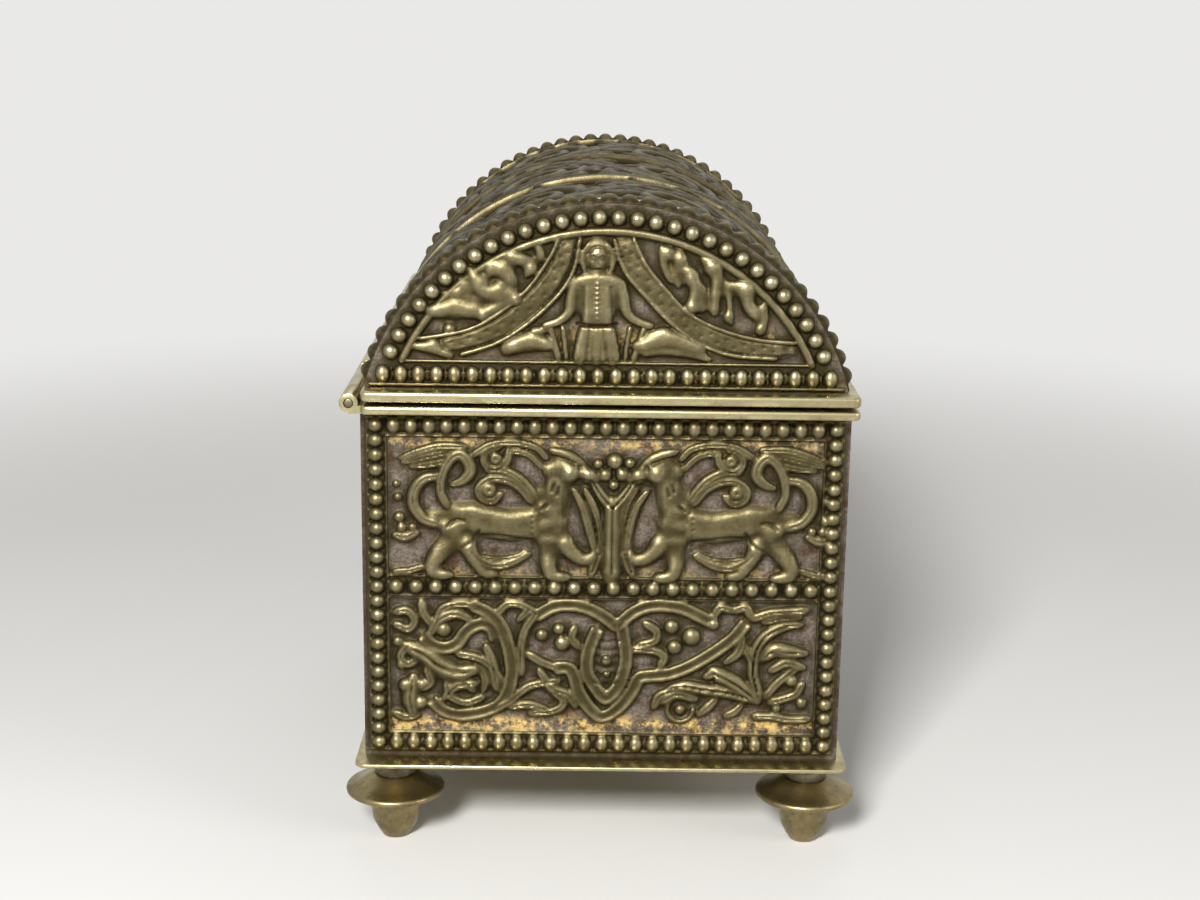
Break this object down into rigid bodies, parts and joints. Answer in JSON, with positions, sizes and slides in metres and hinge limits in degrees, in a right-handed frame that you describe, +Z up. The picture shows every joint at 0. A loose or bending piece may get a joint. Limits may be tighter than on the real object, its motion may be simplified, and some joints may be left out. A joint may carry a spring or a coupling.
{
  "type": "casket",
  "caption": "Footed bronze casket with relief panels, bead mouldings and a barrel-vaulted lid on a long pin hinge.",
  "frame": {"origin": "middle of the footprint, on the surface that the feet stand on", "axes": "+Z up, Y along the length with the pictured end at -Y, X across with the hinge at -X"},
  "size_m": [0.0876, 0.1276, 0.1101],
  "materials": {
    "panel_bronze": "relief, dark in the hollows and polished on top",
    "rim_brass": "satin",
    "foot_brass": "satin with a polished edge",
    "steel": "dull"
  },
  "bodies": {
    "box": {"base_plate": "rim_brass", "end_panel_front": "panel_bronze", "end_panel_rear": "panel_bronze", "side_panel_opening": "panel_bronze", "side_panel_hinge": "panel_bronze", "body_rim": "rim_brass", "hinge_pin": "steel", "foot_front_left": "foot_brass", "foot_collar_front_left": "steel", "foot_screw_front_left": "steel", "foot_front_right": "foot_brass", "foot_collar_front_right": "steel", "foot_screw_front_right": "steel", "foot_rear_left": "foot_brass", "foot_collar_rear_left": "steel", "foot_screw_rear_left": "steel", "foot_rear_right": "foot_brass", "foot_collar_rear_right": "steel", "foot_screw_rear_right": "steel"},
    "lid": {"lid_rim": "rim_brass", "lid_vault": "panel_bronze", "tympanum_front": "panel_bronze", "tympanum_rear": "panel_bronze"}
  },
  "joints": [
    {"name": "lid_hinge", "type": "hinge", "parent": "box", "child": "lid", "pos_m": [-0.0414, 0, 0.0781], "axis": [0, -1, 0], "range_deg": [0, 105]}
  ]
}
